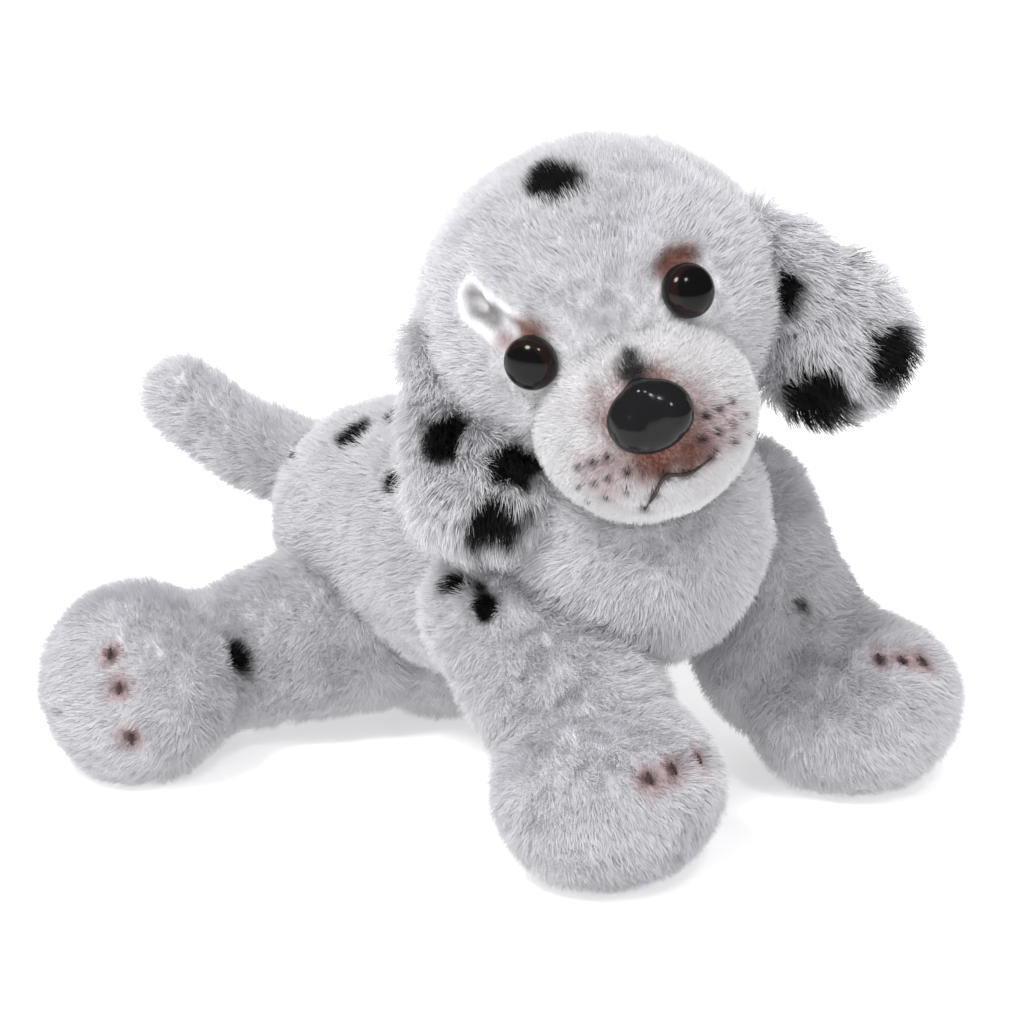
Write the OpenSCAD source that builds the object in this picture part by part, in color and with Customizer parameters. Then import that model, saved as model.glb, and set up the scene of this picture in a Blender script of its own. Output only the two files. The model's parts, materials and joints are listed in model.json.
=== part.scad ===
// Plush dog: a lying puppy soft toy, sewn from fur fabric and filled with fibre and pellets.
// The dog faces -Y, its right side is -X, and it lies on the plane Z = 0.
// Every soft part is a closed fur cover around its filling, with a small gap where it swings.

/* [Fabric] */
// Thickness of the fur fabric, backing and pile together
fabric = 2.5; // [2:0.5:3]
// Gap between two sewn parts that move against each other
seam_gap = 0.6; // [0.5:0.1:0.8]
// Thickness of the sewing thread in the stitches
thread_r = 0.6; // [0.5:0.1:0.8]

/* [Torso] */
// Radius of the chest
chest_r = 35; // [34:1:36]
// Radius of the back between chest and rump
back_r = 37; // [36:1:38]
// Radius of the rump
rump_r = 35; // [34:1:36]
// Radius of the belly that lies on the ground
belly_r = 36; // [35:1:37]

/* [Head] */
// Radius of the round head
head_r = 47; // [46:1:48]
// Radius of the muzzle
muzzle_r = 27; // [26:1:28]
// How far the head is turned to the dog's right, in degrees
head_turn = 41; // [35:1:45]
// How far the face looks up, in degrees
head_pitch = 10; // [5:1:12]
// How far the head leans to its right, in degrees
head_roll = 23; // [18:1:25]

/* [Eyes and nose] */
// Radius of each eye
eye_r = 8; // [7:0.5:8.5]
// Distance of each eye from the middle of the face
eye_side = 23; // [22:0.5:24]
// Radius of the two lobes of the nose
nose_r = 9; // [8.5:0.5:9.5]
// Radius of the shank behind an eye or the nose
shank_r = 2; // [1.5:0.5:2.5]

/* [Ears] */
// Radius of the round lower end of an ear
ear_r = 20; // [19:1:21]
// Distance from the root of an ear to the middle of its round end
ear_length = 44; // [42:1:46]
// Width of an ear where it is sewn to the head
ear_root = 24; // [22:1:26]

/* [Legs] */
// Radius of a front leg at the shoulder
shoulder_r = 19.5; // [19:0.5:20]
// Radius of a front leg above the paw
wrist_r = 22.5; // [22:0.5:23]
// Radius of a front paw
paw_r = 26; // [25:0.5:27]
// Half the distance between the two round lobes of a front paw
paw_spread = 6; // [4:1:7]
// Radius of a hind leg at the hip
hip_r = 19; // [18.5:0.5:19.5]
// Radius of a hind leg above the foot
ankle_r = 18.5; // [18:0.5:19]
// Radius of a hind foot
foot_r = 28; // [27:0.5:29]
// Radius of the pellet pouch in each paw
pouch_r = 15; // [12:1:17]

/* [Tail] */
// Radius of the tail at its root
tail_root_r = 11.5; // [11:0.5:12]
// Radius of the tail at its tip
tail_tip_r = 10; // [9:0.5:11]

/* [Hidden] */
$fn = 48;

// Colours of the materials
fur_white = "whitesmoke";
short_fur = "white";
fibre = "ivory";
pellet_bag = "lightgray";
black_plastic = "black";
brown_plastic = "saddlebrown";
thread = "dimgray";

// Places of the torso, with the chest to the front
chest_at = [0, -20, 80];
back_at = [0, 30, 60];
rump_at = [0, 79, 55];
belly_at = [0, 64, belly_r - 2];
rump_pouch_at = [0, 62, 30];
rump_pouch_r = 7;

// Places of the legs: the pivot at the body, the narrow part and the paw, all on one centre line
shoulder_right = [-27, -1, 58];
wrist_right = [-40, -38, 36];
paw_right = [-46, -57, paw_r - 1];
shoulder_left = [45, -14, 72];
wrist_left = [50, -38, 36];
paw_left = [58, -57, paw_r - 1];
hip_right = [-29.5, 72, 28];
ankle_right = [-60, 90, 21];
foot_right = [-91, 89, foot_r - 1];
function mirrored(p) = [-p[0], p[1], p[2]];
hip_left = mirrored(hip_right);
ankle_left = mirrored(ankle_right);
foot_left = mirrored(foot_right);

// How far the legs swing to each side of their rest position, in degrees
front_swing = 20;
hind_swing = 20;
// Length of the leg that can reach into the torso
leg_reach = 62;

// Places of the tail, which curves up to its tip
tail_root_at = [-1, 112, 66];
tail_bend_at = [-10, 140, 73];
tail_tip_at = [-22, 157, 85];
tail_flare = 14;

// The head's own frame has its origin in the middle of the head, and its face looks along -Y
head_at = [-2, -9, 140];
muzzle_at = [0, -30, -28];
eye_height = -2;
nose_height = -26;
nose_spread = 2.5;
washer_r = 6;
washer_t = 1.5;
shank_length = 9;
eye_gap = 0.7;

// The neck: a wad of fibre in a dish of the chest, around which the head turns and nods
neck_depth = 7;
neck_r = 18;
dish_gap = 2;
neck_seam_r = 20;

// Ears: place of the root in the head's frame, and how far each one leans
ear_root_at = [47, -2, 14];
ear_lean_right = [-23, 9];
ear_lean_left = [-4, 15];
ear_outer_t = 3;
ear_lining_t = 2;

// Extents of the whole toy, which put the origin under the middle of it
toy_front = paw_right[1] - lobe_meet(paw_r, paw_spread) - 3 * thread_r;
toy_back = tail_tip_at[1] + tail_tip_r;
toy_middle = (toy_front + toy_back) / 2;
far = 200;

// ---------- Shared shapes ----------

// Puts the toy's own places around the origin of the frame
module placed() {
    translate([0, -toy_middle, 0]) children();
}

// Turns +Z into the direction from a to b, starting at a
module along(a, b) {
    d = b - a;
    translate(a) rotate([0, acos(d[2] / norm(d)), atan2(d[1], d[0])]) children();
}

// A soft tapered section with round ends; the waist keeps the cone inside both balls
module section(a, ra, b, rb) {
    waist = 0.985;
    translate(a) sphere(ra);
    translate(b) sphere(rb);
    along(a, b) cylinder(h = norm(b - a), r1 = waist * ra, r2 = waist * rb);
}

// Everything above a level
module above(level) {
    translate([-far, -far, level]) cube([2 * far, 2 * far, far * 2]);
}

// One sewing thread from a to b with a small knot at each end
module stitch(a, b) {
    translate(a) sphere(thread_r);
    translate(b) sphere(thread_r);
    along(a, b) cylinder(h = norm(b - a), r = 0.9 * thread_r);
}

// Flat outline that a limb sweeps when it swings to both sides of +X about the origin
module swing_outline(r, swing) {
    start = -0.4 * r;
    half = 0.9 * r;
    end = half + (leg_reach - start) * tan(swing + 2);
    circle(r);
    polygon([[start, -half], [leg_reach, -end], [leg_reach, end], [start, half]]);
}

// ---------- Legs ----------

module front_leg(shoulder, wrist, paw, inset) {
    intersection() {
        union() {
            section(shoulder, shoulder_r - inset, wrist, wrist_r - inset);
            for (side = [-1, 1])
                section(wrist, wrist_r - 1 - inset, paw + [side * paw_spread, 0, 0], paw_r - inset);
        }
        above(inset);
    }
}

module hind_leg(hip, ankle, foot, inset) {
    intersection() {
        union() {
            section(hip, hip_r - inset, ankle, ankle_r - inset);
            section(ankle, ankle_r - 0.5 - inset, foot, foot_r - inset);
        }
        above(inset);
    }
}

module pouch(paw) {
    translate([paw[0], paw[1], paw[2] - 2]) sphere(pouch_r);
}

// Distance from the middle of a paw to the surface where its two lobes meet
function lobe_meet(r, spread) = sqrt(r * r - spread * spread);

// Three short stitches that part the toes, on the front of a paw that points along direction
module toe_stitches(paw, r, spread, direction) {
    toe_turn = 24;
    top = 22;
    bottom = 2;
    for (side = [-1, 0, 1]) {
        outside = 2 * thread_r + (side == 0 ? lobe_meet(r, spread) : r);
        translate(paw) rotate(direction) translate([0, side * spread, 0]) rotate(side * toe_turn)
            stitch(
                outside * [cos(top), 0, sin(top)],
                outside * [cos(bottom), 0, sin(bottom)]
            );
    }
}

// ---------- Torso ----------

// Balls along the back from chest to rump, close enough to read as one soft body
module torso_outline(inset) {
    translate(chest_at) sphere(chest_r - inset);
    translate((chest_at + back_at) / 2) sphere((chest_r + back_r) / 2 - inset);
    translate(back_at) sphere(back_r - inset);
    translate((back_at + rump_at) / 2) sphere((back_r + rump_r) / 2 - inset);
    translate(rump_at) sphere(rump_r - inset);
    translate(belly_at) sphere(belly_r - inset);
}

// Room that a front leg needs, outward from the inner side of its shoulder
module shoulder_room(shoulder, wrist, side, grow) {
    r = wrist_r + seam_gap + grow;
    inner = shoulder_r + seam_gap + grow;
    d = wrist - shoulder;
    translate(shoulder) rotate([atan2(d[2], d[1]), 0, 0]) rotate([90, 0, 90])
        translate([0, 0, side > 0 ? -inner : inner - far])
            linear_extrude(far) swing_outline(r, front_swing);
}

// Room that a hind leg needs, downward from the top of its hip
module hip_room(hip, ankle, grow) {
    r = hip_r + seam_gap + grow;
    d = ankle - hip;
    translate(hip) rotate(atan2(d[1], d[0]))
        translate([0, 0, r - far]) linear_extrude(far) swing_outline(r, hind_swing);
}

// Room for the tail's root, open to the back
module tail_room(grow) {
    r = tail_root_r + seam_gap + grow;
    translate(tail_root_at) sphere(r);
    along(tail_root_at, tail_bend_at) cylinder(h = far / 8, r1 = r * 0.98, r2 = r + tail_flare);
}

// Dish that the head turns in, the hole for the neck's wad, and the level the muzzle sweeps over
module head_room(grow) {
    muzzle_bottom = head_point(muzzle_at)[2] - muzzle_r - dish_gap;
    translate(head_at) {
        sphere(head_r + dish_gap + grow);
        translate([0, 0, -head_r - neck_depth - grow])
            cylinder(h = head_r, r = neck_r + seam_gap + grow);
    }
    translate([-far, head_at[1] - far, muzzle_bottom - grow]) cube([2 * far, far, far]);
}

// The torso without the rooms for its limbs; inset 0 is the outside and inset fabric the filling
module torso(inset) {
    difference() {
        torso_outline(inset);
        shoulder_room(shoulder_right, wrist_right, -1, inset);
        shoulder_room(shoulder_left, wrist_left, 1, inset);
        hip_room(hip_right, ankle_right, inset);
        hip_room(hip_left, ankle_left, inset);
        tail_room(inset);
        head_room(inset);
    }
}

module body_cover() {
    color(fur_white) placed() difference() {
        intersection() {
            torso(0);
            above(fabric);
        }
        torso(fabric);
    }
}

module belly_panel() {
    color(fur_white) placed() intersection() {
        torso(0);
        translate([-far / 2, -far / 2, 0]) cube([far, 2 * far, fabric]);
    }
}

module rump_pouch_shape() {
    translate(rump_pouch_at) sphere(rump_pouch_r);
}

module body_stuffing() {
    color(fibre) placed() difference() {
        intersection() {
            torso(fabric);
            above(fabric);
        }
        rump_pouch_shape();
    }
}

module rump_pellet_pouch() {
    color(pellet_bag) placed() rump_pouch_shape();
}

// A row of hand stitches that closes the seam along the back
module closing_stitches() {
    rows = 5;
    turn = 6;
    length = 4;
    color(thread) placed() for (i = [0 : rows - 1])
        translate(back_at) rotate([-i * turn, 0, 0]) translate([-length / 2, 0, back_r + 1.2 * thread_r])
            rotate([0, 90, 0]) cylinder(h = length, r = thread_r);
}

// ---------- Neck ----------

module neck_stuffing() {
    color(fibre) placed() translate(head_at) difference() {
        translate([0, 0, seam_gap - head_r - neck_depth]) cylinder(h = head_r, r = neck_r);
        sphere(head_r + seam_gap);
        translate([-far / 2, -far / 2, -head_r / 2]) cube(far);
    }
}

// The ring of thread that sews the head on, in the gap between head and chest
module neck_stitches() {
    ring_at = head_r + dish_gap / 2;
    color(thread) placed() translate(head_at)
        translate([0, 0, -sqrt(ring_at * ring_at - neck_seam_r * neck_seam_r)])
            rotate_extrude() translate([neck_seam_r, 0]) circle(thread_r * 0.8);
}

// ---------- Head ----------

// Puts the head's own frame in its place, turned, looking up and leaning
module in_head() {
    placed() translate(head_at) rotate([0, 0, -head_turn]) rotate([-head_pitch, 0, 0])
        rotate([0, -head_roll, 0]) children();
}

// The same move for one point of the head
function turn_x(p, a) = [p[0], p[1] * cos(a) - p[2] * sin(a), p[1] * sin(a) + p[2] * cos(a)];
function turn_y(p, a) = [p[0] * cos(a) + p[2] * sin(a), p[1], -p[0] * sin(a) + p[2] * cos(a)];
function turn_z(p, a) = [p[0] * cos(a) - p[1] * sin(a), p[0] * sin(a) + p[1] * cos(a), p[2]];
function head_point(p) = head_at + turn_z(turn_x(turn_y(p, -head_roll), -head_pitch), -head_turn);

// Turns +Z outward at an eye or the nose, whose middle lies on the head's surface
module facing(p) {
    along(p, p * 1.5) children();
}

function eye_at(side) =
    [side * eye_side, -sqrt(head_r * head_r - eye_side * eye_side - eye_height * eye_height), eye_height];

// Shank of an eye or the nose, from its middle inward
module shank(r) {
    translate([0, 0, -shank_length]) cylinder(h = shank_length, r = r);
}

module washer_disc() {
    translate([0, 0, -fabric * 2 - washer_t]) cylinder(h = washer_t, r = washer_r);
}

module eye(side) {
    facing(eye_at(side)) {
        intersection() {
            translate([0, 0, -eye_r * 0.35]) sphere(eye_r);
            translate([0, 0, eye_gap]) cylinder(h = eye_r, r = eye_r + 1);
        }
        translate([0, 0, 1]) shank(shank_r);
    }
}

// Turns +Z out of the front of the muzzle, with Z = 0 just in front of it
module nose_axis() {
    translate([0, muzzle_at[1] - muzzle_r - eye_gap, nose_height]) rotate([90, 0, 0]) children();
}

// A nose of two round lobes and a pointed top, flat where it lies on the muzzle
module nose_body() {
    nose_axis() {
        intersection() {
            union() {
                for (side = [-1, 1])
                    translate([side * nose_spread, 0, -1.5]) sphere(nose_r);
                translate([0, 0, 1]) rotate([-90, 0, 0]) cylinder(h = nose_r * 1.4, r1 = 5, r2 = 1);
            }
            cylinder(h = 2 * nose_r, r = 2 * nose_r);
        }
        translate([0, 0, 1]) shank(shank_r);
    }
}

module nose_washer_disc() {
    nose_axis() translate([0, 0, 1.5 - shank_length]) cylinder(h = washer_t, r = washer_r);
}

module head_filling() {
    sphere(head_r - fabric);
    translate(muzzle_at) sphere(muzzle_r - fabric);
}

module head_cover() {
    color(fur_white) in_head() difference() {
        sphere(head_r);
        sphere(head_r - fabric);
        translate(muzzle_at) sphere(muzzle_r);
        for (side = [-1, 1])
            facing(eye_at(side)) shank(shank_r);
    }
}

// Distance from the middle of the head to the plane of the seam around the muzzle
function muzzle_seam() =
    let (d = norm(muzzle_at))
    (d * d + head_r * head_r - muzzle_r * muzzle_r) / (2 * d);

module muzzle_cover() {
    rim = muzzle_seam() - 0.5 - norm(muzzle_at);
    color(short_fur) in_head() difference() {
        along([0, 0, 0], muzzle_at) translate([0, 0, norm(muzzle_at)]) difference() {
            sphere(muzzle_r);
            sphere(muzzle_r - fabric);
            translate([0, 0, rim - far]) cylinder(h = far, r = far / 2);
        }
        nose_axis() shank(shank_r);
    }
}

module head_stuffing() {
    color(fibre) in_head() difference() {
        head_filling();
        for (side = [-1, 1])
            facing(eye_at(side)) {
                shank(shank_r);
                washer_disc();
            }
        nose_axis() shank(shank_r);
        nose_washer_disc();
    }
}

module eye_right() {
    color(black_plastic) in_head() eye(-1);
}

module eye_left() {
    color(black_plastic) in_head() eye(1);
}

module eye_washer(side) {
    color(brown_plastic) in_head() difference() {
        facing(eye_at(side)) washer_disc();
        facing(eye_at(side)) shank(shank_r);
    }
}

module eye_washer_right() {
    eye_washer(-1);
}

module eye_washer_left() {
    eye_washer(1);
}

module nose() {
    color(black_plastic) in_head() nose_body();
}

module nose_washer() {
    color(brown_plastic) in_head() difference() {
        nose_washer_disc();
        nose_axis() shank(shank_r);
    }
}

// A point on the muzzle: across the face and down from its middle
function on_muzzle(across, down) =
    let (r = muzzle_r + 2 * thread_r)
    muzzle_at + [across, -sqrt(r * r - across * across - down * down), -down];

// The embroidered mouth: an upside-down V under the nose
module mouth_stitches() {
    top = on_muzzle(0, 14);
    color(brown_plastic) in_head() {
        stitch(top, on_muzzle(-8, 19));
        stitch(top, on_muzzle(8, 19));
    }
}

// ---------- Ears ----------

// An ear before it is cut clear of the head: a narrow root and a round lower end
module ear_flap(thickness) {
    wide = ear_r * 0.96;
    narrow = ear_root / 2;
    translate([0, -narrow, 0]) cylinder(h = thickness, r = narrow);
    translate([0, -ear_length, 0]) cylinder(h = thickness, r = ear_r);
    linear_extrude(thickness)
        polygon([
            [-narrow * 0.98, -narrow],
            [narrow * 0.98, -narrow],
            [wide, 6 - ear_length],
            [-wide, 6 - ear_length],
        ]);
}

// One layer of an ear between two depths, cut clear of the head
module ear_layer(side, lean, from, to) {
    in_head() difference() {
        translate([side * ear_root_at[0], ear_root_at[1], ear_root_at[2]])
            rotate([lean[0], -side * lean[1], 0]) rotate([90, 0, 0])
                translate([0, 0, from]) ear_flap(to - from);
        sphere(head_r + seam_gap);
    }
}

module ear_right_outer() {
    color(fur_white) ear_layer(-1, ear_lean_right, 0, ear_outer_t);
}

module ear_right_lining() {
    color(short_fur) ear_layer(-1, ear_lean_right, -ear_lining_t, 0);
}

module ear_left_outer() {
    color(fur_white) ear_layer(1, ear_lean_left, 0, ear_outer_t);
}

module ear_left_lining() {
    color(short_fur) ear_layer(1, ear_lean_left, -ear_lining_t, 0);
}

// ---------- Leg nodes ----------

module front_cover(shoulder, wrist, paw) {
    color(fur_white) placed() difference() {
        front_leg(shoulder, wrist, paw, 0);
        front_leg(shoulder, wrist, paw, fabric);
    }
}

module front_filling(shoulder, wrist, paw) {
    color(fibre) placed() difference() {
        front_leg(shoulder, wrist, paw, fabric);
        pouch(paw);
    }
}

module hind_cover(hip, ankle, foot) {
    color(fur_white) placed() difference() {
        hind_leg(hip, ankle, foot, 0);
        hind_leg(hip, ankle, foot, fabric);
    }
}

module hind_filling(hip, ankle, foot) {
    color(fibre) placed() difference() {
        hind_leg(hip, ankle, foot, fabric);
        pouch(foot);
    }
}

module leg_pouch(paw) {
    color(pellet_bag) placed() pouch(paw);
}

module leg_toes(paw, r, spread, direction) {
    color(thread) placed() toe_stitches(paw, r, spread, direction);
}

module front_leg_right_cover() {
    front_cover(shoulder_right, wrist_right, paw_right);
}

module front_leg_right_stuffing() {
    front_filling(shoulder_right, wrist_right, paw_right);
}

module front_leg_right_pouch() {
    leg_pouch(paw_right);
}

module front_leg_right_toes() {
    leg_toes(paw_right, paw_r, paw_spread, -90);
}

module front_leg_left_cover() {
    front_cover(shoulder_left, wrist_left, paw_left);
}

module front_leg_left_stuffing() {
    front_filling(shoulder_left, wrist_left, paw_left);
}

module front_leg_left_pouch() {
    leg_pouch(paw_left);
}

module front_leg_left_toes() {
    leg_toes(paw_left, paw_r, paw_spread, -90);
}

module hind_leg_right_cover() {
    hind_cover(hip_right, ankle_right, foot_right);
}

module hind_leg_right_stuffing() {
    hind_filling(hip_right, ankle_right, foot_right);
}

module hind_leg_right_pouch() {
    leg_pouch(foot_right);
}

module hind_leg_right_toes() {
    leg_toes(foot_right, foot_r, 0, 200);
}

module hind_leg_left_cover() {
    hind_cover(hip_left, ankle_left, foot_left);
}

module hind_leg_left_stuffing() {
    hind_filling(hip_left, ankle_left, foot_left);
}

module hind_leg_left_pouch() {
    leg_pouch(foot_left);
}

module hind_leg_left_toes() {
    leg_toes(foot_left, foot_r, 0, -20);
}

// ---------- Tail ----------

module tail(inset) {
    section(tail_root_at, tail_root_r - inset, tail_bend_at, tail_root_r - 0.5 - inset);
    section(tail_bend_at, tail_root_r - 0.9 - inset, tail_tip_at, tail_tip_r - inset);
}

module tail_cover() {
    color(fur_white) placed() difference() {
        tail(0);
        tail(fabric);
    }
}

module tail_stuffing() {
    color(fibre) placed() tail(fabric);
}

body_cover();
belly_panel();
body_stuffing();
rump_pellet_pouch();
closing_stitches();
neck_stuffing();
neck_stitches();
head_cover();
muzzle_cover();
head_stuffing();
mouth_stitches();
eye_right();
eye_left();
eye_washer_right();
eye_washer_left();
nose();
nose_washer();
ear_right_outer();
ear_right_lining();
ear_left_outer();
ear_left_lining();
front_leg_right_cover();
front_leg_right_stuffing();
front_leg_right_pouch();
front_leg_right_toes();
front_leg_left_cover();
front_leg_left_stuffing();
front_leg_left_pouch();
front_leg_left_toes();
hind_leg_right_cover();
hind_leg_right_stuffing();
hind_leg_right_pouch();
hind_leg_right_toes();
hind_leg_left_cover();
hind_leg_left_stuffing();
hind_leg_left_pouch();
hind_leg_left_toes();
tail_cover();
tail_stuffing();
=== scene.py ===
"""Looks of the lying plush puppy: furry skins, pile, glossy eyes and nose, stitches, light and camera.

Every soft cover is a dense mesh whose surface carries the pile as real relief and its colours as a
point attribute. Loose strands are combed over it for the close look of the fur.
"""

import json
import math

import bmesh
import bpy
import numpy as np
from mathutils import Matrix, Vector


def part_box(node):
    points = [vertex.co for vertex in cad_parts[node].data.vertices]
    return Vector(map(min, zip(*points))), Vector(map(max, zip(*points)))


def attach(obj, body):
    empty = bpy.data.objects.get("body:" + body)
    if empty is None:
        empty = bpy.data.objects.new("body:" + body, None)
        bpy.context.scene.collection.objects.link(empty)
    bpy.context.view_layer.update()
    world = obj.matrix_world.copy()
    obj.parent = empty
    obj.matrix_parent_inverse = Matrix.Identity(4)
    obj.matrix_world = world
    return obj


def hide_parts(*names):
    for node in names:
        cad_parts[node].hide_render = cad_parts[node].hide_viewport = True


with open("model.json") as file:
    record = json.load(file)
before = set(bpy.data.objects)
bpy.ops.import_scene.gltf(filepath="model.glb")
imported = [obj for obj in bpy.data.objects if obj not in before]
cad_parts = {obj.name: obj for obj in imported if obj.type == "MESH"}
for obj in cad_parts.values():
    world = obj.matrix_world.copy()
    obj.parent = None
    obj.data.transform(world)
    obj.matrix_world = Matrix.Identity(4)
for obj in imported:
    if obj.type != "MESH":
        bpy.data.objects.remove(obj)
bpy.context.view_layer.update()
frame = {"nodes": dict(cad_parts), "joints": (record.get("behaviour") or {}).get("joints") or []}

MM = 0.001
SEED = 11
TINT = "tint"

# ---------- Places that come from the frame ----------

JOINTS = {j["name"]: j for j in frame["joints"]}


def joint_place(name):
    """Where a joint is at rest."""
    return Vector(JOINTS[name]["pos_m"])


def middle(node):
    """The middle of a CAD node's box."""
    low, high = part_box(node)
    return (low + high) / 2


# The head's own axes: across from its right to its left, back from its face, and up.
HEAD = joint_place("head_nod")
ACROSS = (joint_place("ear_left_flap") - joint_place("ear_right_flap")).normalized()
BACK = Vector(JOINTS["ear_right_flap"]["axis"]).normalized()
UP = ACROSS.cross(BACK).normalized()
HEAD_TURN = Matrix((ACROSS, BACK, UP)).transposed()


def on_head(across, back, up):
    """A point of the head's own frame, given in millimetres, in the row frame."""
    return HEAD + HEAD_TURN @ (Vector((across, back, up)) * MM)


def at(x, y, z):
    """A point or a length along each axis, given in millimetres."""
    return Vector((x, y, z)) * MM


# ---------- Random fields ----------

LATTICE = np.random.default_rng(SEED).random((40, 40, 40, 3)) * 2 - 1


def noise(points, size):
    """Smooth random vectors from -1 to 1 that change over about size metres."""
    grid = points / size
    cell = np.floor(grid).astype(int)
    part = grid - cell
    part = part * part * (3 - 2 * part)
    total = np.zeros_like(points)
    for corner in np.ndindex(2, 2, 2):
        near = (cell + corner) % len(LATTICE)
        share = np.prod(np.where(corner, part, 1 - part), axis=1)
        total += LATTICE[near[:, 0], near[:, 1], near[:, 2]] * share[:, None]
    return total


def ease(value, start, end):
    """0 before start, 1 after end and smooth between them."""
    t = np.clip((value - start) / (end - start), 0, 1)
    return t * t * (3 - 2 * t)


def distance(points, place):
    """How far each point is from a place."""
    return np.linalg.norm(points - np.array(place), axis=1)


# ---------- Shapes ----------


def ball(place, radii, turn=None):
    """Points on a ball or an ellipsoid, with radii in millimetres."""
    count = 500
    step = np.arange(count) + 0.5
    height = 1 - 2 * step / count
    ring = np.sqrt(1 - height * height)
    angle = step * math.pi * (1 + math.sqrt(5))
    unit = np.stack([ring * np.cos(angle), ring * np.sin(angle), height], 1)
    sized = unit * np.array(radii if hasattr(radii, "__len__") else (radii,) * 3) * MM
    if turn is not None:
        sized = sized @ np.array(turn).T
    return sized + np.array(place)


def hull_mesh(hulls):
    """One mesh with a closed hull around each group of ball points."""
    whole = bmesh.new()
    for points in hulls:
        one = bmesh.new()
        for p in points:
            one.verts.new(p)
        inner = bmesh.ops.convex_hull(one, input=one.verts)["geom_interior"]
        bmesh.ops.delete(one, geom=[g for g in inner if isinstance(g, bmesh.types.BMVert)])
        mesh = bpy.data.meshes.new("hull")
        one.to_mesh(mesh)
        one.free()
        whole.from_mesh(mesh)
        bpy.data.meshes.remove(mesh)
    mesh = bpy.data.meshes.new("hulls")
    whole.to_mesh(mesh)
    whole.free()
    return mesh


def applied(obj):
    """Applies the modifiers of obj to its mesh."""
    graph = bpy.context.evaluated_depsgraph_get()
    mesh = bpy.data.meshes.new_from_object(obj.evaluated_get(graph))
    obj.modifiers.clear()
    old = obj.data
    obj.data = mesh
    bpy.data.meshes.remove(old)
    return obj


def blend_shape(name, hulls, voxel, rounds):
    """One closed skin around all the hulls, with the creases between them smoothed."""
    obj = bpy.data.objects.new(name, hull_mesh(hulls))
    bpy.context.scene.collection.objects.link(obj)
    remesh = obj.modifiers.new("skin", "REMESH")
    remesh.mode = "VOXEL"
    remesh.voxel_size = voxel * MM
    smooth = obj.modifiers.new("soften", "SMOOTH")
    smooth.factor = 0.5
    smooth.iterations = rounds
    applied(obj)
    for polygon in obj.data.polygons:
        polygon.use_smooth = True
    return obj


def corners(obj):
    """The mesh's points, one row each."""
    co = np.zeros(len(obj.data.vertices) * 3)
    obj.data.vertices.foreach_get("co", co)
    return co.reshape(-1, 3)


def normals(obj):
    """The direction out of the skin at each of the mesh's points."""
    out = np.zeros(len(obj.data.vertices) * 3)
    obj.data.vertex_normals.foreach_get("vector", out)
    return out.reshape(-1, 3)


def move_to(obj, co):
    """Moves the mesh's points to new places."""
    obj.data.vertices.foreach_set("co", co.ravel())
    obj.data.update()


def rest_on_floor(co, softness=3 * MM):
    """Squeezes what is below softness so that it ends flat on the floor."""
    z = co[:, 2]
    low = z < softness
    z[low] = softness * np.exp((z[low] - softness) / softness)
    return co


def tufts(obj, height, size, dents=()):
    """Raises the pile's tufts out of the skin, and presses it in at the dents."""
    co = corners(obj)
    out = normals(obj)
    coarse = noise(co, size * MM)[:, 0]
    fine = noise(co + 0.5, size * 0.45 * MM)[:, 1]
    raised = height * MM * (0.75 + 0.6 * coarse + 0.5 * fine)
    for place, radius, depth in dents:
        raised -= depth * MM * (1 - ease(distance(co, place), 0.2 * radius * MM, radius * MM))
    move_to(obj, rest_on_floor(co + out * raised[:, None]))


def nearest(obj, place):
    """The point of a skin closest to a place."""
    co = corners(obj)
    return Vector(co[distance(co, place).argmin()])


# ---------- Colours ----------

WHITE = np.array([0.79, 0.785, 0.81])
WARM_WHITE = np.array([0.82, 0.81, 0.82])
BLACK = np.array([0.012, 0.012, 0.013])
BROWN = np.array([0.23, 0.085, 0.06])
IRIS = np.array([0.016, 0.009, 0.007])
DARK_BROWN = np.array([0.04, 0.018, 0.014])
PINK = np.array([0.5, 0.3, 0.3])


def mix(colour, other, share):
    """A share of one colour laid over another, point by point."""
    return colour + (other - colour) * share[:, None]


class Paint:
    """What is printed or sprayed on a piece: its plain colour, black spots and soft airbrush marks; some
    marks are painted shade instead, such as the dark line along the head's dart.
    """

    def __init__(self, plain, spots=(), marks=()):
        self.plain = plain
        self.spots = spots
        self.marks = marks

    def colours(self, points, jitter=0.0):
        tone = 1 + 0.035 * noise(points, 7 * MM)[:, 2]
        out = self.plain[None, :] * tone[:, None]
        for place, radius, colour, strength in self.marks:
            wobble = 1 + 0.2 * noise(points, 6 * MM)[:, 1]
            far = distance(points, place) * wobble
            share = strength * (1 - ease(far, 0.25 * radius * MM, radius * MM))
            out = mix(out, colour, share)
        for place, radius in self.spots:
            wobble = 1 + 0.45 * noise(points, 5 * MM)[:, 0] + jitter
            share = 1 - ease(distance(points, place) * wobble, 0.72 * radius * MM, 1.15 * radius * MM)
            out = mix(out, BLACK, share)
        return np.clip(out, 0, 1)


def paint(obj, look):
    """Stores the piece's colours on its points."""
    colours = look.colours(corners(obj))
    layer = obj.data.color_attributes.new(TINT, "FLOAT_COLOR", "POINT")
    layer.data.foreach_set("color", np.column_stack([colours, np.ones(len(colours))]).ravel())


# ---------- Materials ----------


def new_material(name):
    material = bpy.data.materials.new(name)
    material.use_nodes = True
    return material, material.node_tree.nodes, material.node_tree.links


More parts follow.
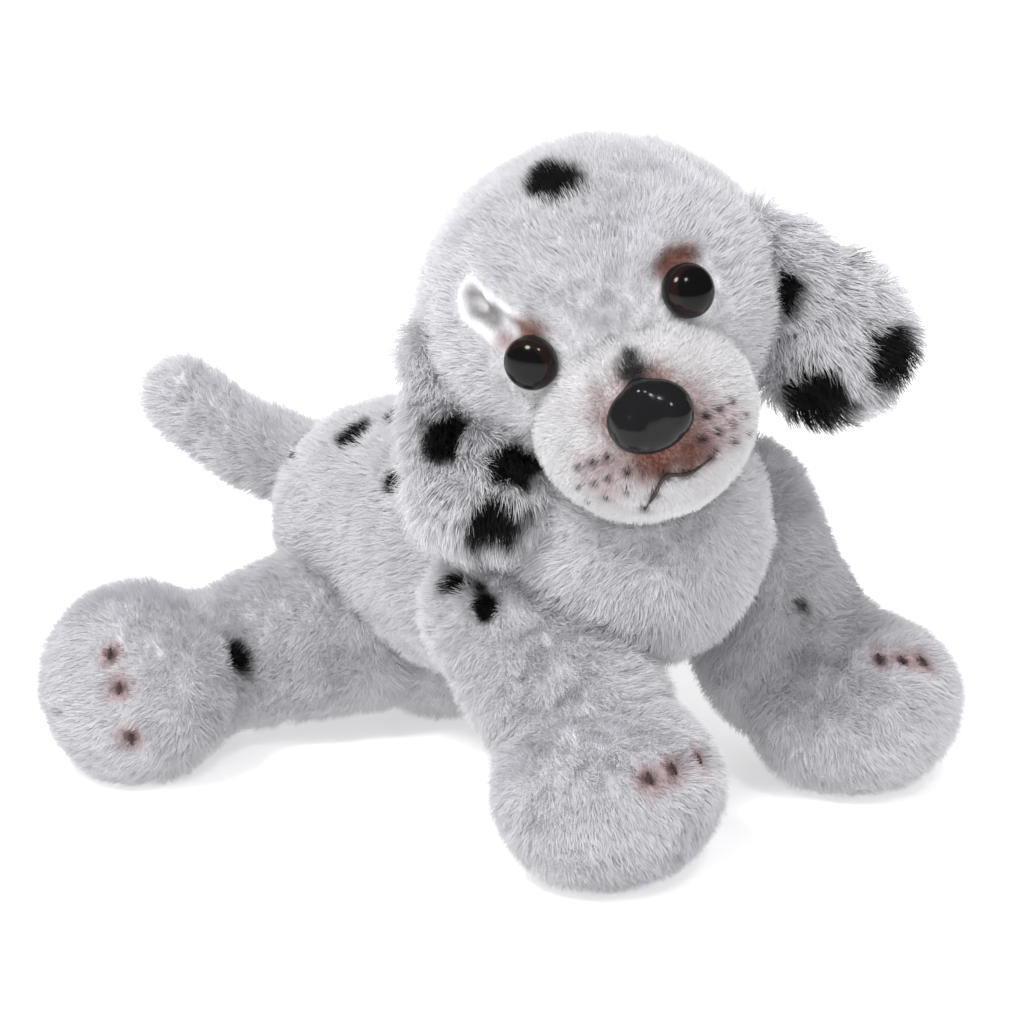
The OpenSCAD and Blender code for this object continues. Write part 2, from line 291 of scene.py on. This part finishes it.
def fur_skin_material(name, tuft_size, relief):
    """Fur fabric: the painted colours, with the fine relief of the pile."""
    material, nodes, links = new_material(name)
    shader = nodes["Principled BSDF"]
    shader.inputs["Roughness"].default_value = 0.95
    shader.inputs["Specular IOR Level"].default_value = 0.15
    shader.inputs["Sheen Weight"].default_value = 0.25
    colour = nodes.new("ShaderNodeAttribute")
    colour.attribute_name = TINT
    links.new(colour.outputs["Color"], shader.inputs["Base Color"])
    place = nodes.new("ShaderNodeTexCoord")
    pile = nodes.new("ShaderNodeTexNoise")
    pile.inputs["Scale"].default_value = 1 / (tuft_size * MM)
    pile.inputs["Detail"].default_value = 4
    pile.inputs["Distortion"].default_value = 0.8
    bump = nodes.new("ShaderNodeBump")
    bump.inputs["Strength"].default_value = 0.8
    bump.inputs["Distance"].default_value = relief * MM
    links.new(place.outputs["Object"], pile.inputs["Vector"])
    links.new(pile.outputs["Fac"], bump.inputs["Height"])
    links.new(bump.outputs["Normal"], shader.inputs["Normal"])
    return material


def strand_material():
    """Loose fibres of the pile, in the colour of the skin under their roots."""
    material, nodes, links = new_material("pile strands")
    shader = nodes["Principled BSDF"]
    shader.inputs["Roughness"].default_value = 0.9
    shader.inputs["Specular IOR Level"].default_value = 0.1
    colour = nodes.new("ShaderNodeAttribute")
    colour.attribute_name = TINT
    links.new(colour.outputs["Color"], shader.inputs["Base Color"])
    return material


def glossy_material(name, grain):
    """Moulded glossy plastic in the painted colours, with a clear coat and a faint grain."""
    material, nodes, links = new_material(name)
    shader = nodes["Principled BSDF"]
    shader.inputs["Roughness"].default_value = 0.14
    shader.inputs["Specular IOR Level"].default_value = 0.16
    shader.inputs["Coat Weight"].default_value = 0.1
    shader.inputs["Coat Roughness"].default_value = 0.04
    colour = nodes.new("ShaderNodeAttribute")
    colour.attribute_name = TINT
    links.new(colour.outputs["Color"], shader.inputs["Base Color"])
    place = nodes.new("ShaderNodeTexCoord")
    speck = nodes.new("ShaderNodeTexNoise")
    speck.inputs["Scale"].default_value = 1 / (0.8 * MM)
    bump = nodes.new("ShaderNodeBump")
    bump.inputs["Strength"].default_value = grain
    bump.inputs["Distance"].default_value = 0.1 * MM
    links.new(place.outputs["Object"], speck.inputs["Vector"])
    links.new(speck.outputs["Fac"], bump.inputs["Height"])
    links.new(bump.outputs["Normal"], shader.inputs["Normal"])
    return material


def thread_material(name, colour):
    """Twisted embroidery thread."""
    material, nodes, links = new_material(name)
    shader = nodes["Principled BSDF"]
    shader.inputs["Roughness"].default_value = 0.7
    place = nodes.new("ShaderNodeTexCoord")
    twist = nodes.new("ShaderNodeTexWave")
    twist.inputs["Scale"].default_value = 1 / (1.2 * MM)
    tone = nodes.new("ShaderNodeMixRGB")
    tone.inputs["Color1"].default_value = (*colour, 1)
    tone.inputs["Color2"].default_value = (*[1.8 * c for c in colour], 1)
    links.new(place.outputs["Object"], twist.inputs["Vector"])
    links.new(twist.outputs["Fac"], tone.inputs["Fac"])
    links.new(tone.outputs["Color"], shader.inputs["Base Color"])
    return material


FUR_SKIN = fur_skin_material("white fur fabric", 1.6, 0.9)
SHORT_SKIN = fur_skin_material("short pile fabric", 0.9, 0.35)
STRANDS = strand_material()
GLOSS = glossy_material("glossy black plastic", 0.05)
NOSE_GLOSS = glossy_material("glossy nose plastic", 0.25)
DARK_THREAD = thread_material("dark thread", (0.03, 0.02, 0.018))


# ---------- Pile ----------


class Pile:
    """How the fur of one piece lies.

    length and radius of a strand are in millimetres, and per_mm2 counts the strands. lean is how far
    they lie down along the comb, and tousle how far they wander from it, both as shares.
    """

    def __init__(self, length, per_mm2, radius, lean, tousle, comb):
        self.length = length
        self.per_mm2 = per_mm2
        self.radius = radius
        self.lean = lean
        self.tousle = tousle
        self.comb = comb


STRAND_STEPS = np.array([0.0, 0.35, 0.7, 1.0])


def scattered(obj, per_mm2, random):
    """Random points on the skin, with the skin's direction there."""
    mesh = obj.data
    mesh.calc_loop_triangles()
    count = len(mesh.loop_triangles)
    triangle = np.zeros(count * 3, int)
    mesh.loop_triangles.foreach_get("vertices", triangle)
    triangle = triangle.reshape(-1, 3)
    co = corners(obj)
    out = normals(obj)
    a, b, c = (co[triangle[:, k]] for k in range(3))
    area = np.linalg.norm(np.cross(b - a, c - a), axis=1) / 2
    total = int(area.sum() / MM**2 * per_mm2)
    picked = random.choice(count, total, p=area / area.sum())
    u = np.sqrt(random.random(total))
    v = random.random(total)
    weight = np.stack([1 - u, u * (1 - v), u * v], 1)
    root = (co[triangle[picked]] * weight[:, :, None]).sum(1)
    normal = (out[triangle[picked]] * weight[:, :, None]).sum(1)
    normal /= np.linalg.norm(normal, axis=1)[:, None]
    return root, normal


def comb_over(obj, body, pile, look, bare):
    """Grows the loose strands of a piece.

    Each item of bare is a place, the radius of its short fur, the radius where the fur is full
    again, and the share of its length that is left at the place.
    """
    random = np.random.default_rng(SEED + len(obj.name))
    root, normal = scattered(obj, pile.per_mm2, random)
    length = pile.length * MM * (0.75 + 0.5 * random.random(len(root)))
    for place, inner, outer, least in bare:
        length *= least + (1 - least) * ease(distance(root, place), inner * MM, outer * MM)
    kept = length > 0.12 * pile.length * MM
    root, normal, length = root[kept], normal[kept], length[kept]
    total = len(root)
    comb = pile.comb(root)
    along = comb - normal * (comb * normal).sum(1)[:, None]
    along /= np.maximum(np.linalg.norm(along, axis=1), 0.2)[:, None]
    swirl = noise(root, 9 * MM) + 0.8 * noise(root + 0.3, 3.5 * MM)
    loose = random.normal(size=(total, 3)) * 0.16
    tip = normal * (1 - 0.45 * pile.lean) + along * pile.lean + pile.tousle * swirl + loose
    tip /= np.linalg.norm(tip, axis=1)[:, None]
    rise = (STRAND_STEPS * (1 - 0.55 * STRAND_STEPS))[None, :, None]
    reach = (STRAND_STEPS**1.7)[None, :, None]
    step = length[:, None, None]
    points = root[:, None, :] + step * (normal[:, None, :] * rise + tip[:, None, :] * reach * 0.75)
    points[:, :, 2] = np.maximum(points[:, :, 2], 0.3 * MM)
    colours = look.colours(root, jitter=random.normal(size=total) * 0.05)
    colours *= (0.94 + 0.12 * random.random(total))[:, None]
    add_strands(obj.name + "_strands", points, pile.radius * MM, colours, body)


def add_strands(name, points, radius, colours, body):
    curves = bpy.data.hair_curves.new(name)
    total, steps = points.shape[:2]
    curves.add_curves([steps] * total)
    curves.attributes["position"].data.foreach_set("vector", points.astype(np.float32).ravel())
    width = np.tile(radius * np.array([1.0, 0.9, 0.65, 0.25]), total)
    curves.attributes.new("radius", "FLOAT", "POINT").data.foreach_set("value", width.astype(np.float32))
    tint = np.column_stack([colours, np.ones(total)]).astype(np.float32)
    curves.attributes.new(TINT, "FLOAT_COLOR", "CURVE").data.foreach_set("color", tint.ravel())
    curves.materials.append(STRANDS)
    strands = bpy.data.objects.new(name, curves)
    bpy.context.scene.collection.objects.link(strands)
    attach(strands, body)


def toward(direction):
    """A comb that lays the pile one way all over a piece."""
    return lambda points: np.tile(np.array(direction, float), (len(points), 1))


def away_from(place, drop=0.0):
    """A comb that lays the pile outward from a place, and a little downward."""

    def comb(points):
        out = points - np.array(place)
        out /= np.maximum(np.linalg.norm(out, axis=1), 1e-6)[:, None]
        out[:, 2] -= drop
        return out

    return comb


def soft_piece(obj, body, nodes, material, look, pile, bare=()):
    """Finishes a furry piece: colours, material, what it stands for, and its strands."""
    paint(obj, look)
    obj.data.materials.append(material)
    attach(obj, body)
    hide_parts(*nodes)
    comb_over(obj, body, pile, look, bare)
    return obj


THREAD_R = 0.55
THREAD_END = 0.5


def thread(name, places, radius, body):
    """A thread of the given radius in millimetres through some places, thinner at its ends."""
    curve = bpy.data.curves.new(name, "CURVE")
    curve.dimensions = "3D"
    curve.bevel_depth = radius * MM
    curve.bevel_resolution = 3
    curve.use_fill_caps = True
    spline = curve.splines.new("BEZIER")
    spline.bezier_points.add(len(places) - 1)
    for point, place in zip(spline.bezier_points, places):
        point.co = place
        point.handle_left_type = point.handle_right_type = "AUTO"
    for point in (spline.bezier_points[0], spline.bezier_points[-1]):
        point.radius = THREAD_END
    obj = bpy.data.objects.new(name, curve)
    bpy.context.scene.collection.objects.link(obj)
    obj.data.materials.append(DARK_THREAD)
    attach(obj, body)
    return obj


# Relief of the fur on the torso, the head and the legs, in millimetres
TUFT_HEIGHT = 1.2
TUFT_SIZE = 6


# ---------- Torso ----------

CHEST_R = 36
BACK_R = 38
RUMP_R = 33.5
BELLY_R = 27
chest_at = HEAD + at(2, -10, -60)
back_at = HEAD + at(2, 41, -76)
rump_at = joint_place("tail_wag") + at(1, -33, -8)
belly_at = rump_at + at(6, -14, -27)

# The first four show from the front right, and the other four are guesses for the far side.
# Spots are black patches, each a place and a radius in millimetres.
TORSO_SPOTS = [
    (at(-19, 33, 88), 6),
    (at(-12, 20, 96), 5),
    (at(-31, -2, 83), 4),
    (at(-20, 59, 76), 3.5),
    (at(26, 4, 84), 7),
    (at(34, 34, 62), 8),
    (at(12, 54, 84), 6),
    (at(10, 76, 52), 6),
]


def torso():
    """The chest, back, rump and belly under one coat."""
    skin = blend_shape(
        "torso_fur",
        [
            np.vstack([ball(chest_at, CHEST_R), ball(back_at, BACK_R)]),
            np.vstack([ball(back_at, BACK_R), ball(rump_at, RUMP_R)]),
            np.vstack([ball(rump_at, RUMP_R - 2), ball(belly_at, BELLY_R)]),
        ],
        1.5,
        25,
    )
    tufts(skin, TUFT_HEIGHT, TUFT_SIZE)
    look = Paint(WHITE, TORSO_SPOTS)
    pile = Pile(3.9, 4.4, 0.072, 0.7, 0.4, toward((0, 0.8, -0.5)))
    nodes = ["body_cover", "belly_panel", "body_stuffing", "rump_pellet_pouch", "closing_stitches"]
    soft_piece(skin, "torso", nodes, FUR_SKIN, look, pile)


WAD_SHARE = 0.97


def neck():
    """The wad of filling between the torso and the head, out of sight under the fur."""
    low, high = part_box("neck_stuffing")
    half = (high - low) / 2 / MM * WAD_SHARE
    wad = blend_shape("neck_wad", [ball(middle("neck_stuffing"), (half.x, half.y, half.z))], 1.3, 4)
    paint(wad, Paint(WARM_WHITE))
    wad.data.materials.append(SHORT_SKIN)
    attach(wad, "neck")
    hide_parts("neck_stuffing")


# ---------- Head ----------

EYES = ("eye_right", "eye_left")
EYE_R = 7.3
EYE_HEIGHT = EYE_R * 0.72
EYE_SEAT = 47
HEAD_R = (46.5, 45, 43)
MUZZLE_AT = (0, -30, -28)
MUZZLE_R = (28, 28.5, 26)
# The first spot shows from the front, and the other three are guesses for the back.
HEAD_SPOTS = [
    (on_head(2, -27, 37), 8.5),
    (on_head(24, 12, 34), 6),
    (on_head(-22, 26, 26), 8),
    (on_head(16, 38, 6), 7),
]


# Directions from the eye's middle in which the airbrush reaches, in degrees from across to up
BROW_ANGLES = (60, 90, 120)


def line(start, end, count):
    """Evenly spaced places from start to end."""
    return [start.lerp(end, i / (count - 1)) for i in range(count)]


def around_eye(eye, angle, reach):
    """A place on the head's skin beside an eye, at an angle from across to up."""
    turn = math.radians(angle)
    return middle(eye) + HEAD_TURN @ at(reach * math.cos(turn), 2, reach * math.sin(turn))


def head():
    """The round head, with sockets for the eyes and the dart sewn above the right eye, its crease
    darkened with painted shade.
    """
    skin = blend_shape("head_fur", [ball(HEAD, HEAD_R, HEAD_TURN)], 1.3, 6)
    dart = [nearest(skin, place) for place in line(on_head(-31, -28, 20), on_head(-23, -37, 6), 11)]
    dents = [(middle(eye), 15, 3.0) for eye in EYES] + [(place, 4.5, 1.2) for place in dart]
    tufts(skin, TUFT_HEIGHT, TUFT_SIZE, dents)
    marks = [(around_eye(eye, angle, 8.5), 6, BROWN, 0.85) for eye in EYES for angle in BROW_ANGLES]
    # Painted shade: dark brown laid along the dart stands for the shade in its crease.
    marks += [(place, 4.2, DARK_BROWN, 0.6) for place in dart]
    look = Paint(WHITE, HEAD_SPOTS, marks)
    pile = Pile(3.7, 4.8, 0.07, 0.65, 0.38, away_from(on_head(*MUZZLE_AT), 0.3))
    bare = [(middle(eye), 7.5, 16, 0.03) for eye in EYES]
    bare += [(place, 3.5, 8, 0.13) for place in dart]
    bare += [(on_head(*MUZZLE_AT), 28, 44, 0.5)]
    nodes = ["head_cover", "head_stuffing", "eye_washer_right", "eye_washer_left", "nose_washer"]
    soft_piece(skin, "head", nodes, FUR_SKIN, look, pile, bare=bare)


def on_muzzle(across, up, proud=0.0):
    """A place on the front of the muzzle, proud of its skin by some millimetres."""
    x, z = across - MUZZLE_AT[0], up - MUZZLE_AT[2]
    inside = 1 - (x / MUZZLE_R[0]) ** 2 - (z / MUZZLE_R[2]) ** 2
    deep = MUZZLE_R[1] * math.sqrt(inside)
    out = Vector((x / MUZZLE_R[0] ** 2, -deep / MUZZLE_R[1] ** 2, z / MUZZLE_R[2] ** 2)).normalized()
    x, y, z = Vector((across, MUZZLE_AT[1] - deep, up)) + out * proud
    return on_head(x, y, z)


# The whisker dots of one cheek: height of each row, and how far across the face its dots are.
WHISKER_ROWS = {-31: (13, 16.5, 20), -36: (10, 14.5, 18, 22), -40.5: (12, 17, 21.5)}
WHISKER_R = 1.7
# The mouth from one corner to the other, each place as across and up.
MOUTH = [(-9.5, -47.5), (-6, -44.5), (-1.5, -41), (3.5, -42.5), (10.5, -41.5)]


def muzzle():
    """The short-pile muzzle, airbrushed around the nose and down to the mouth."""
    skin = blend_shape("muzzle_fur", [ball(on_head(*MUZZLE_AT), MUZZLE_R, HEAD_TURN)], 0.8, 8)
    lips = [(on_muzzle(*place), 4, 1.4) for place in MOUTH]
    tufts(skin, 0.5, 4, lips)
    marks = [(middle("nose"), 20, BROWN, 1.0)]
    under_nose = [on_muzzle(across, -36 - abs(across) * 0.3) for across in (-4, 0, 4, 8)]
    marks += [(place, 8, BROWN, 0.7) for place in under_nose]
    marks += [(on_muzzle(*place), 3.4, DARK_BROWN, 0.75) for place in MOUTH]
    marks += [(on_muzzle(side * 16, -36), 11, PINK, 0.35) for side in (-1, 1)]
    marks += [(on_muzzle(1, -14), 6.5, BLACK, 0.95), (on_muzzle(2, -10.5), 3.2, BLACK, 0.9)]
    for up, row in WHISKER_ROWS.items():
        dots = [on_muzzle(side * across, up) for side in (-1, 1) for across in row]
        marks += [(place, WHISKER_R, BLACK, 0.9) for place in dots]
    look = Paint(WARM_WHITE, marks=marks)
    pile = Pile(2.2, 7, 0.06, 0.7, 0.3, away_from(middle("nose"), 0.2))
    bare = [(middle("nose"), 10, 16, 0.2)]
    soft_piece(skin, "head", ["muzzle_cover"], SHORT_SKIN, look, pile, bare=bare)


def mouth():
    """The embroidered mouth, a thread that lies in the pile."""
    path = [on_muzzle(*place, 1.6) for place in MOUTH]
    obj = thread("mouth_thread", path, THREAD_R, "head")
    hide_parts("mouth_stitches")


# ---------- Ears ----------


EAR_ROOT_R = 9
EAR_HALF = 4.5


def ear(name, side, lean, root_in, root_down, length, end_r, spots):
    """A floppy ear from its root at the side of the head.

    lean is its tilt back and its spread outward in degrees. The root is moved in and down from the
    hinge, and length and end_r give the round end. All of them are in millimetres.
    """
    hinge = joint_place(name + "_flap")
    tilt = Matrix.Rotation(math.radians(lean[0]), 3, "X")
    spread = Matrix.Rotation(math.radians(-side * lean[1]), 3, "Y")
    turn = HEAD_TURN @ spread @ tilt
    root = hinge + turn @ at(-side * root_in, 0, -root_down)
    end = hinge + turn @ at(0, 0, -length)
    skin = blend_shape(
        name + "_fur",
        [
            np.vstack(
                [
                    ball(root, (EAR_ROOT_R, EAR_HALF, EAR_ROOT_R), turn),
                    ball(end, (end_r, EAR_HALF, end_r), turn),
                ]
            )
        ],
        1.0,
        8,
    )
    tufts(skin, 1.6, 7)
    look = Paint(WHITE, spots)
    pile = Pile(6.5, 4.4, 0.085, 0.85, 0.5, toward(turn @ Vector((side * 0.25, 0, -1))))
    nodes = [name + "_outer", name + "_lining"]
    soft_piece(skin, name, nodes, FUR_SKIN, look, pile)


# The last spot of each ear is a guess for its back.
EAR_RIGHT_SPOTS = [
    (on_head(-51, -19, -13), 6),
    (on_head(-47, -29, -37), 7.5),
    (on_head(-38, -24, -27), 6.5),
    (on_head(-66, -29, -38), 5.5),
    (on_head(-52, -9, -26), 7),
]
EAR_LEFT_SPOTS = [
    (on_head(48, -10, -14), 4.5),
    (on_head(72, -8, -16), 5.5),
    (on_head(66, -10, -42), 8),
    (on_head(45, -10, -43), 9),
    (on_head(62, 2, -30), 7),
]

# ---------- Legs ----------


TOE_STITCH_HALF = 1.7
TOE_STITCH_PROUD = 0.9


def toes(name, places, body):
    """Three short stitches between the toes."""
    for number, place in enumerate(places):
        out = (place - middle(body + "_pouch")).normalized()
        down = (at(0, 0, -1) - out * out.dot(at(0, 0, -1))).normalized()
        start = place + out * TOE_STITCH_PROUD * MM
        path = [start + down * step * TOE_STITCH_HALF * MM for step in (-1, 0, 1)]
        obj = thread(f"{name}_{number}", path, THREAD_R, body)
        if number == 0:
            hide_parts(body + "_toes")


def leg(name, hulls, spots, toe_places, top):
    """A leg's coat, with the blush and the stitches of its toes."""
    skin = blend_shape(name + "_fur", hulls, 1.3, 7)
    tufts(skin, TUFT_HEIGHT, TUFT_SIZE)
    toe_places = [nearest(skin, place) for place in toe_places]
    marks = [(place, 6, PINK, 0.7) for place in toe_places]
    marks += [(place, 3, DARK_BROWN, 0.75) for place in toe_places]
    look = Paint(WHITE, spots, marks)
    pile = Pile(3.9, 4.6, 0.072, 0.65, 0.4, away_from(top))
    bare = [(place, 2.5, 6, 0.35) for place in toe_places]
    nodes = [name + part for part in ("_cover", "_stuffing", "_pouch")]
    soft_piece(skin, name, nodes, FUR_SKIN, look, pile, bare=bare)
    toes(name + "_toe", toe_places, name)


def front_leg(name, shoulder, side, shift, spots, toe_places):
    """A front leg, from its shoulder over the wrist to the large round paw."""
    paw = middle(name + "_pouch") + at(shift, 4, 0)
    wrist = paw + at(-side * 8, 19, 12)
    top = joint_place(shoulder)
    hulls = [
        np.vstack([ball(top, 21), ball(wrist, 21.5)]),
        np.vstack([ball(wrist, 21), ball(paw, (24, 21, 21))]),
        ball(paw, (28.5, 25.5, 22)),
    ]
    leg(name, hulls, spots, toe_places, top)


def hind_leg(name, hip, side, spots, toe_places):
    """A hind leg that lies out to its side, from the hip to the sole of its foot."""
    foot = middle(name + "_pouch") + at(-side, 0, 1)
    ankle = foot + at(-side * 31, 3, -2)
    top = joint_place(hip) + at(-side * 10, 4, 5)
    hulls = [
        np.vstack([ball(top, 24), ball(ankle, 16.5)]),
        np.vstack([ball(ankle, 16.5), ball(foot, (19, 22, 22))]),
        ball(foot, (23.5, 25, 25.5)),
    ]
    leg(name, hulls, spots, toe_places, top)


# The left hind leg and the outer spot of the left front leg are guesses.
FRONT_RIGHT_SPOTS = [(at(-40, -99, 52), 4), (at(-47, -53, 66), 4.5), (at(-47, -41, 69), 3.5)]
FRONT_LEFT_SPOTS = [(at(40, -92, 56), 4), (at(70, -78, 50), 6)]
HIND_RIGHT_SPOTS = [(at(-67, 30, 33), 5)]
HIND_LEFT_SPOTS = [(at(64, 32, 36), 6), (at(78, 66, 30), 5)]
FRONT_RIGHT_TOES = [at(-46, -117, 35), at(-38, -118, 35), at(-25, -117, 35)]
FRONT_LEFT_TOES = [at(51, -112, 44), at(58, -114, 43), at(66, -116, 41)]
HIND_RIGHT_TOES = [at(-107, 36, 42), at(-108, 31, 33), at(-106, 29, 19)]
HIND_LEFT_TOES = [at(107, 36, 42), at(108, 31, 33), at(106, 29, 21)]


# ---------- Tail ----------


def tail():
    """The short tail, from the rump up to its round tip."""
    low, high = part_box("tail_cover")
    root = joint_place("tail_wag")
    tip = Vector((low.x + 10 * MM, high.y - 10 * MM, high.z - 10 * MM))
    bend = root.lerp(tip, 0.55) + at(0, 0, -4)
    skin = blend_shape(
        "tail_fur",
        [
            np.vstack([ball(root, 10.5), ball(bend, 9.5)]),
            np.vstack([ball(bend, 9.5), ball(tip, 8.5)]),
        ],
        1.0,
        12,
    )
    tufts(skin, 1.0, 5)
    look = Paint(WHITE)
    pile = Pile(4.2, 3.6, 0.085, 0.65, 0.4, away_from(root))
    soft_piece(skin, "tail", ["tail_cover", "tail_stuffing"], FUR_SKIN, look, pile)


# ---------- Eyes and nose ----------


def turned_shape(name, profile, place, outward, rounds=64):
    """A mesh turned from a profile of (radius, height) pairs in millimetres around an axis."""
    bm = bmesh.new()
    rings = []
    for radius, height in profile:
        if radius == 0:
            rings.append([bm.verts.new((0, 0, height * MM))] * rounds)
            continue
        step = 2 * math.pi / rounds
        ring = [(math.cos(i * step) * radius, math.sin(i * step) * radius) for i in range(rounds)]
        rings.append([bm.verts.new((x * MM, y * MM, height * MM)) for x, y in ring])
    for low, high in zip(rings, rings[1:]):
        for i in range(rounds):
            j = (i + 1) % rounds
            loop = list(dict.fromkeys([low[i], low[j], high[j], high[i]]))
            if len(loop) > 2:
                bm.faces.new(loop)
    bmesh.ops.recalc_face_normals(bm, faces=bm.faces)
    mesh = bpy.data.meshes.new(name)
    bm.to_mesh(mesh)
    bm.free()
    turn = outward.to_track_quat("Z", "Y").to_matrix().to_4x4()
    mesh.transform(Matrix.Translation(place) @ turn)
    for polygon in mesh.polygons:
        polygon.use_smooth = True
    obj = bpy.data.objects.new(name, mesh)
    bpy.context.scene.collection.objects.link(obj)
    return obj


def eye(name):
    """A domed eye: a black pupil in a dark brown iris, with a thin rim at the fur."""
    place = middle(name)
    outward = (place - HEAD).normalized()
    base = HEAD + outward * EYE_SEAT * MM
    angles = np.linspace(0, math.pi / 2, 20)[:-1]
    dome = [(EYE_R * math.cos(a), EYE_HEIGHT * math.sin(a)) for a in angles]
    profile = [(0, -3), (EYE_R * 0.9, -3), (EYE_R, -1.5), *dome, (0, EYE_HEIGHT)]
    obj = turned_shape(name + "_dome", profile, base, outward)
    co = corners(obj)
    off = co - np.array(base)
    axial = off @ np.array(outward)
    radial = np.linalg.norm(off - axial[:, None] * np.array(outward), axis=1)
    iris = ease(radial, 5.2 * MM, 6.0 * MM) * (1 - ease(radial, 6.8 * MM, 7.3 * MM))
    colours = mix(np.tile(BLACK * 0.4, (len(co), 1)), IRIS, iris)
    layer = obj.data.color_attributes.new(TINT, "FLOAT_COLOR", "POINT")
    layer.data.foreach_set("color", np.column_stack([colours, np.ones(len(co))]).ravel())
    obj.data.materials.append(GLOSS)
    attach(obj, "head")
    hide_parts(name)


def nose():
    """A moulded nose of two lobes under a pointed top."""
    front = middle("nose")
    place = HEAD_TURN.transposed() @ (front - HEAD) / MM
    x, y, z = place
    oval = ball(on_head(x, y + 2, z - 0.5), (11.6, 7.5, 9.6), HEAD_TURN)
    lobes = [ball(on_head(x + s * 4.6, y + 1.2, z - 1.5), (6.6, 7, 7), HEAD_TURN) for s in (-1, 1)]
    bridge = ball(on_head(x, y + 2.2, z + 5.5), (5, 6.5, 4.6), HEAD_TURN)
    obj = blend_shape("nose_moulded", [oval, *lobes, bridge], 0.5, 30)
    colours = np.tile(BLACK, (len(obj.data.vertices), 1))
    layer = obj.data.color_attributes.new(TINT, "FLOAT_COLOR", "POINT")
    layer.data.foreach_set("color", np.column_stack([colours, np.ones(len(colours))]).ravel())
    obj.data.materials.append(NOSE_GLOSS)
    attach(obj, "head")
    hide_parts("nose")


# ---------- Everything ----------

torso()
neck()
head()
muzzle()
mouth()
ear("ear_right", -1, (-23, 1), 5, 8, 46, 16.5, EAR_RIGHT_SPOTS)
ear("ear_left", 1, (-4, 9), 4, 15, 46, 19, EAR_LEFT_SPOTS)
front_leg("front_leg_right", "shoulder_right", -1, 7, FRONT_RIGHT_SPOTS, FRONT_RIGHT_TOES)
front_leg("front_leg_left", "shoulder_left", 1, 0, FRONT_LEFT_SPOTS, FRONT_LEFT_TOES)
hind_leg("hind_leg_right", "hip_right", -1, HIND_RIGHT_SPOTS, HIND_RIGHT_TOES)
hind_leg("hind_leg_left", "hip_left", 1, HIND_LEFT_SPOTS, HIND_LEFT_TOES)
tail()
eye("eye_right")
eye("eye_left")
nose()

# The CAD nodes that nothing replaces, such as the ring of thread in the neck, are thread.
for node, obj in frame["nodes"].items():
    if not obj.hide_render:
        obj.data.materials.clear()
        obj.data.materials.append(DARK_THREAD)


# ---------- Floor, light and camera ----------


def floor():
    """A plain pale floor with a little light of its own, so that it stays white."""
    mesh = bpy.data.meshes.new("floor")
    size = 6
    mesh.from_pydata(
        [(-size, -size, 0), (size, -size, 0), (size, size, 0), (-size, size, 0)], [], [(0, 1, 2, 3)]
    )
    obj = bpy.data.objects.new("floor", mesh)
    material, nodes, _ = new_material("pale floor")
    nodes["Principled BSDF"].inputs["Base Color"].default_value = (0.98, 0.98, 0.98, 1)
    nodes["Principled BSDF"].inputs["Roughness"].default_value = 0.9
    nodes["Principled BSDF"].inputs["Emission Color"].default_value = (1, 1, 1, 1)
    nodes["Principled BSDF"].inputs["Emission Strength"].default_value = 0.42
    mesh.materials.append(material)
    bpy.context.scene.collection.objects.link(obj)


def softbox(name, place, size, power, colour=(1, 1, 1)):
    """A round soft light that faces the toy."""
    light = bpy.data.lights.new(name, "AREA")
    light.shape = "DISK"
    light.size = size
    light.energy = power
    light.color = colour
    obj = bpy.data.objects.new(name, light)
    obj.location = place
    obj.rotation_euler = (AIM - Vector(place)).to_track_quat("-Z", "Y").to_euler()
    bpy.context.scene.collection.objects.link(obj)


def camera():
    """The camera: in front of the toy, to its right and a little above it."""
    azimuth = math.radians(-42)
    height = math.radians(18)
    away = 0.9
    outward = Vector(
        (math.sin(azimuth) * math.cos(height), -math.cos(azimuth) * math.cos(height), math.sin(height))
    )
    data = bpy.data.cameras.new("camera")
    data.lens = 110.7
    data.sensor_width = 36
    data.shift_x = 0.0117
    data.shift_y = 0.0176
    obj = bpy.data.objects.new("camera", data)
    obj.location = AIM + outward * away
    obj.rotation_euler = (-outward).to_track_quat("-Z", "Y").to_euler()
    bpy.context.scene.collection.objects.link(obj)
    bpy.context.scene.camera = obj


AIM = at(-8, -17, 70)
floor()
camera()
softbox("key", (-0.75, -0.1, 1.1), 0.34, 9.5)
softbox("front", (-0.25, -0.75, 1.1), 0.2, 2.8, (0.97, 0.97, 1))


WORLD_FOR_SOFT = 0.66
WORLD_FOR_GLOSSY = 0.06


def share_of_light(nodes, links, path):
    """Full for the backdrop itself, less for the light on soft parts, least for glossy ones."""
    total = None
    shares = {"Is Camera Ray": 1 - WORLD_FOR_SOFT, "Is Glossy Ray": WORLD_FOR_GLOSSY - WORLD_FOR_SOFT}
    for output, share in shares.items():
        step = nodes.new("ShaderNodeMath")
        step.operation = "MULTIPLY_ADD"
        step.inputs[1].default_value = share
        step.inputs[2].default_value = WORLD_FOR_SOFT
        links.new(path.outputs[output], step.inputs[0])
        if total:
            links.new(total, step.inputs[2])
        total = step.outputs["Value"]
    return total


def studio_world():
    """White walls all round; soft parts get less of their light and glossy parts least."""
    world = bpy.data.worlds.new("studio")
    bpy.context.scene.world = world
    world.use_nodes = True
    nodes, links = world.node_tree.nodes, world.node_tree.links
    nodes["Background"].inputs["Color"].default_value = (0.98, 0.98, 1, 1)
    path = nodes.new("ShaderNodeLightPath")
    links.new(share_of_light(nodes, links, path), nodes["Background"].inputs["Strength"])


studio_world()
bpy.context.scene.view_settings.view_transform = "Standard"
